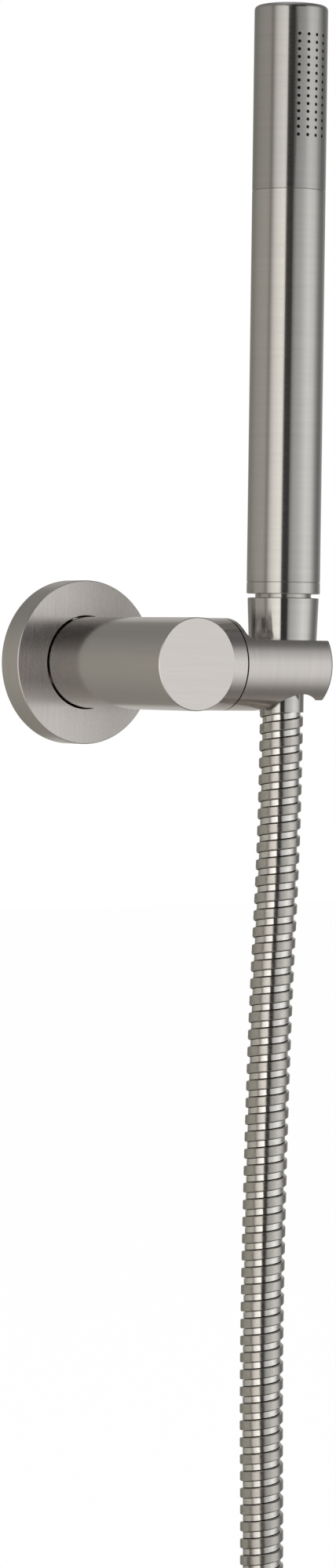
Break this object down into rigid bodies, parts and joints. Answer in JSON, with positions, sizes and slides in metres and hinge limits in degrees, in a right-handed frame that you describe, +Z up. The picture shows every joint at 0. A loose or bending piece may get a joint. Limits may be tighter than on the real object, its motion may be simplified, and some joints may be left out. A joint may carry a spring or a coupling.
{
  "type": "hand shower set",
  "caption": "Wall-mounted hand shower set in brushed nickel: round flange and post, swivelling holder with a conical seat, slim stick hand shower and an interlocked metal hose.",
  "frame": {"origin": "centre of the wall plate's back face, on the wall", "axes": "+X along the wall from the post to the holder, -Y out from the wall, +Z up along the hand shower"},
  "size_m": [0.19, 0.0724, 0.6965],
  "materials": {
    "brushed_nickel": "brushed nickel plate",
    "hose_metal": "satin nickel interlocked strip",
    "black_rubber": "black moulded rubber",
    "white_plastic": "natural white plastic",
    "brass": "turned brass",
    "screw_steel": "plain stainless steel",
    "nozzle_rubber": "dark silicone",
    "tie_webbing": "black woven hook tape",
    "plate_coat": "black coated brass"
  },
  "bodies": {
    "bracket": {"wall_plate": "plate_coat", "flange": "brushed_nickel", "post": "brushed_nickel", "post_set_screw": "screw_steel", "pivot_screw": "screw_steel", "thrust_washer": "white_plastic", "hose_run": "hose_metal", "hose_coil": "hose_metal", "coil_tie": "tie_webbing", "hose_end_run": "hose_metal", "lower_ferrule": "brushed_nickel", "lower_hose_tail": "brass"},
    "holder": {"holder_arm": "brushed_nickel", "pivot_o_rings": "black_rubber", "cone_nut": "brushed_nickel", "upper_hose_tail": "brass", "upper_ferrule": "brushed_nickel", "inlet_washer": "black_rubber", "inlet_fitting": "brushed_nickel", "inlet_o_ring": "black_rubber", "check_valve": "white_plastic", "body_tube": "brushed_nickel", "coupling": "brass", "head_o_ring": "black_rubber", "head_tube": "brushed_nickel", "nozzle_strip": "nozzle_rubber"},
    "hose_nut": {"lower_nut": "brushed_nickel", "lower_washer": "black_rubber"}
  },
  "joints": [
    {"name": "holder_swivel", "type": "hinge", "parent": "bracket", "child": "holder", "pos_m": [0.0206, -0.0574, 0], "axis": [1, 0, 0], "range_deg": [-10, 35], "deforming": ["hose_run"]},
    {"name": "hose_nut_spin", "type": "hinge", "parent": "bracket", "child": "hose_nut", "pos_m": [0.0418, -0.0294, -0.4642], "axis": [0, 0, 1], "continuous": true}
  ]
}
